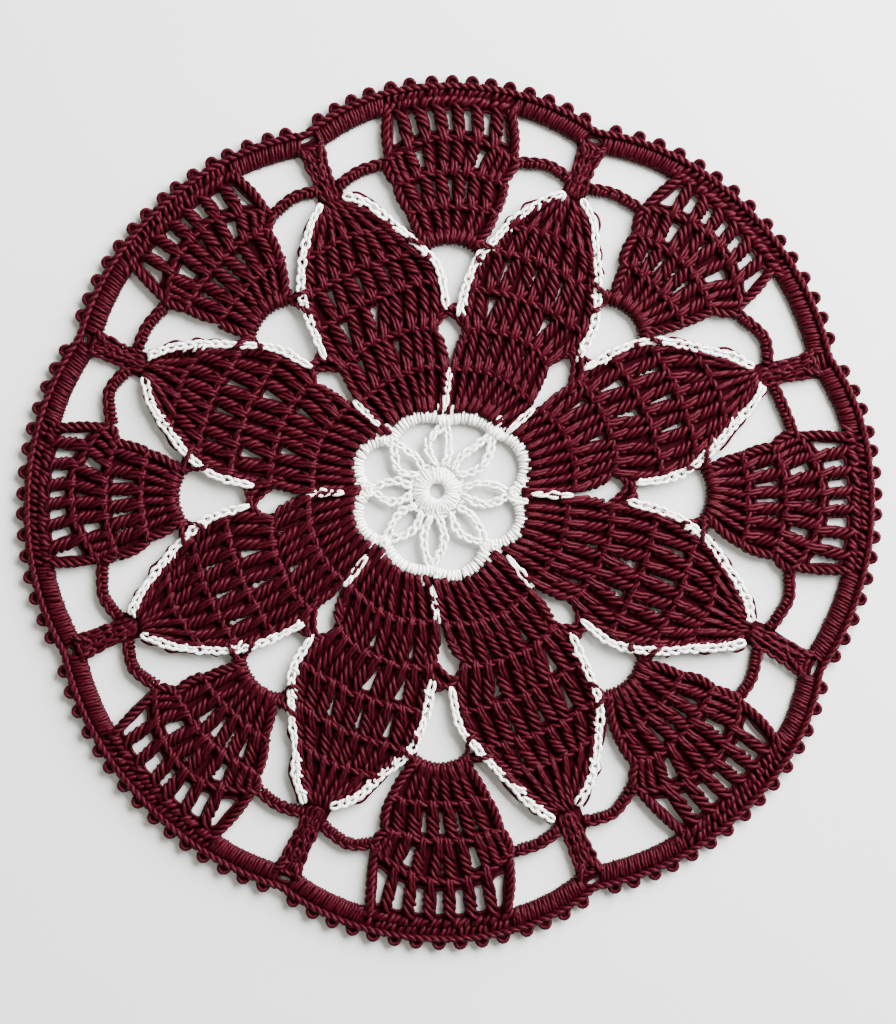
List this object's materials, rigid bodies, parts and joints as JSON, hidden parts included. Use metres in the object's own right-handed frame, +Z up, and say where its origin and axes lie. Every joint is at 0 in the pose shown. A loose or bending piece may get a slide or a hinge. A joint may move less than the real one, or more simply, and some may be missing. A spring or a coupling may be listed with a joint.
{
  "type": "lace doily",
  "caption": "Round flat crocheted cotton doily: burgundy petals and fans around a white lobed medallion, white chain edging, scalloped rim with picots.",
  "frame": {"origin": "centre of the round doily, on its underside, where it rests", "axes": "+Z up out of the face, +Y towards the fan at the top, +X to the right"},
  "size_m": [0.2168, 0.2189, 0.0032],
  "materials": {
    "burgundy_cotton": "mercerised crochet cotton, burgundy, slight sheen",
    "white_cotton": "mercerised crochet cotton, white, slight sheen"
  },
  "bodies": {
    "root": {"lace_body": "burgundy_cotton", "centre_medallion": "white_cotton", "chain_1_left": "white_cotton", "chain_1_right": "white_cotton", "chain_2_left": "white_cotton", "chain_2_right": "white_cotton", "chain_3_left": "white_cotton", "chain_3_right": "white_cotton", "chain_4_left": "white_cotton", "chain_4_right": "white_cotton", "chain_5_left": "white_cotton", "chain_5_right": "white_cotton", "chain_6_left": "white_cotton", "chain_6_right": "white_cotton", "chain_7_left": "white_cotton", "chain_7_right": "white_cotton", "chain_8_left": "white_cotton", "chain_8_right": "white_cotton", "bar_1": "white_cotton", "bar_2": "white_cotton", "bar_3": "white_cotton", "bar_4": "white_cotton", "bar_5": "white_cotton", "bar_6": "white_cotton", "bar_7": "white_cotton", "bar_8": "white_cotton"}
  },
  "joints": []
}
